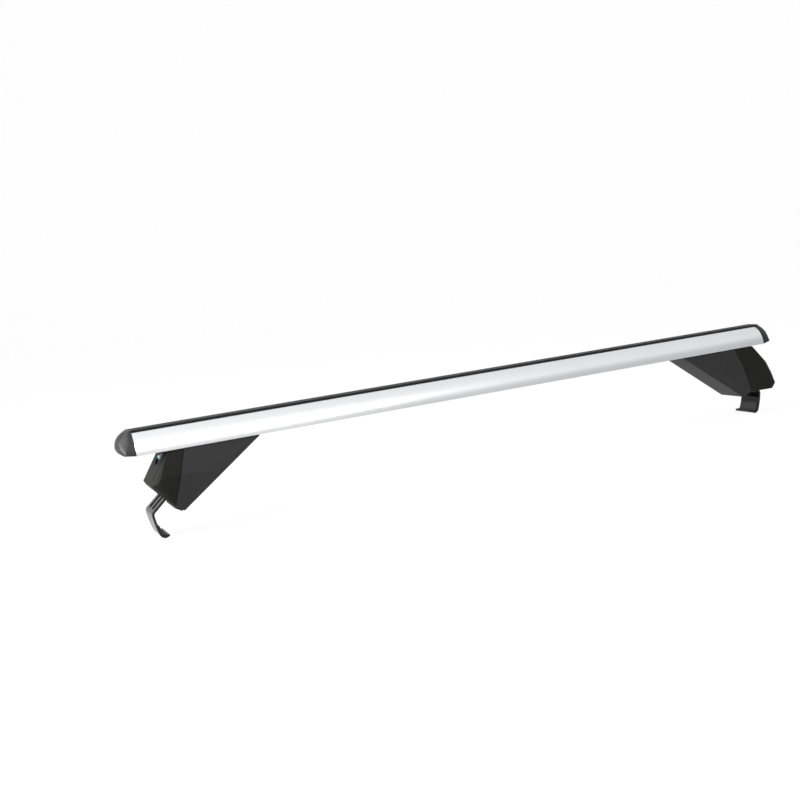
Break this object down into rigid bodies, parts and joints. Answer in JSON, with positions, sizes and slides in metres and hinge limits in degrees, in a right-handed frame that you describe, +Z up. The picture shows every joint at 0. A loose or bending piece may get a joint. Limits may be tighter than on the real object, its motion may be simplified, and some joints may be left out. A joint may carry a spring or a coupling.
{
  "type": "roof rack crossbar",
  "caption": "Aero aluminium roof rack crossbar with a rubber topped load face and two moulded feet, each with a screw-worked hook clamp for raised rails.",
  "frame": {"origin": "middle of the load face, on top of the rubber strip at half length", "axes": "+X along the bar to the right foot, +Y across the bar to the rear, +Z up"},
  "size_m": [1.208, 0.074, 0.1626],
  "materials": {
    "silver_aluminium": "satin, clear anodised",
    "strip_rubber": "dull extruded rubber",
    "cap_plastic": "fine grained moulding",
    "casing_plastic": "satin moulding",
    "cover_plastic": "satin moulding, greenish grey",
    "pad_rubber": "dull soft rubber",
    "zinc_steel": "zinc plated",
    "hook_steel": "gloss black coating",
    "liner_rubber": "dull grey rubber",
    "blue_zinc": "blue zinc plated"
  },
  "bodies": {
    "bar_and_feet": {"bar_tube": "silver_aluminium", "top_strip": "strip_rubber", "left_end_cap": "cap_plastic", "right_end_cap": "cap_plastic", "left_foot_casing": "casing_plastic", "left_outer_cover": "cover_plastic", "left_bar_gasket": "pad_rubber", "left_bracket": "zinc_steel", "left_bar_bolts": "zinc_steel", "left_nut_plate": "zinc_steel", "left_rail_pad": "pad_rubber", "left_hook_pin": "zinc_steel", "left_pin_clips": "zinc_steel", "left_screw_washer": "zinc_steel", "right_foot_casing": "casing_plastic", "right_outer_cover": "cover_plastic", "right_bar_gasket": "pad_rubber", "right_bracket": "zinc_steel", "right_bar_bolts": "zinc_steel", "right_nut_plate": "zinc_steel", "right_rail_pad": "pad_rubber", "right_hook_pin": "zinc_steel", "right_pin_clips": "zinc_steel", "right_screw_washer": "zinc_steel"},
    "left_clamp": {"left_hook": "hook_steel", "left_hook_liner": "liner_rubber"},
    "left_nut": {"left_barrel_nut": "zinc_steel"},
    "left_screw": {"left_clamp_screw": "blue_zinc"},
    "right_clamp": {"right_hook": "hook_steel", "right_hook_liner": "liner_rubber"},
    "right_nut": {"right_barrel_nut": "zinc_steel"},
    "right_screw": {"right_clamp_screw": "blue_zinc"}
  },
  "joints": [
    {"name": "left_hook_swing", "type": "hinge", "parent": "bar_and_feet", "child": "left_clamp", "pos_m": [-0.542, 0, -0.0918], "axis": [0, -1, 0], "range_deg": [-11.5, 4]},
    {"name": "left_nut_turn", "type": "hinge", "parent": "left_clamp", "child": "left_nut", "pos_m": [-0.52525, 0, -0.0852], "axis": [0, -1, 0], "range_deg": [-4, 11.5]},
    {"name": "left_screw_turn", "type": "hinge", "parent": "bar_and_feet", "child": "left_screw", "pos_m": [-0.52525, 0, -0.0852], "axis": [-0.3665, 0, 0.9304], "range_deg": [-455, 1305]},
    {"name": "right_hook_swing", "type": "hinge", "parent": "bar_and_feet", "child": "right_clamp", "pos_m": [0.542, 0, -0.0918], "axis": [0, 1, 0], "range_deg": [-11.5, 4]},
    {"name": "right_nut_turn", "type": "hinge", "parent": "right_clamp", "child": "right_nut", "pos_m": [0.52525, 0, -0.0852], "axis": [0, 1, 0], "range_deg": [-4, 11.5]},
    {"name": "right_screw_turn", "type": "hinge", "parent": "bar_and_feet", "child": "right_screw", "pos_m": [0.52525, 0, -0.0852], "axis": [0.3665, 0, 0.9304], "range_deg": [-455, 1305]}
  ],
  "couplings": [
    {"joint": "left_nut_turn", "follows": "left_hook_swing", "ratio": -1},
    {"joint": "left_screw_turn", "follows": "left_hook_swing", "ratio": -113.1},
    {"joint": "right_nut_turn", "follows": "right_hook_swing", "ratio": -1},
    {"joint": "right_screw_turn", "follows": "right_hook_swing", "ratio": -113.1}
  ]
}
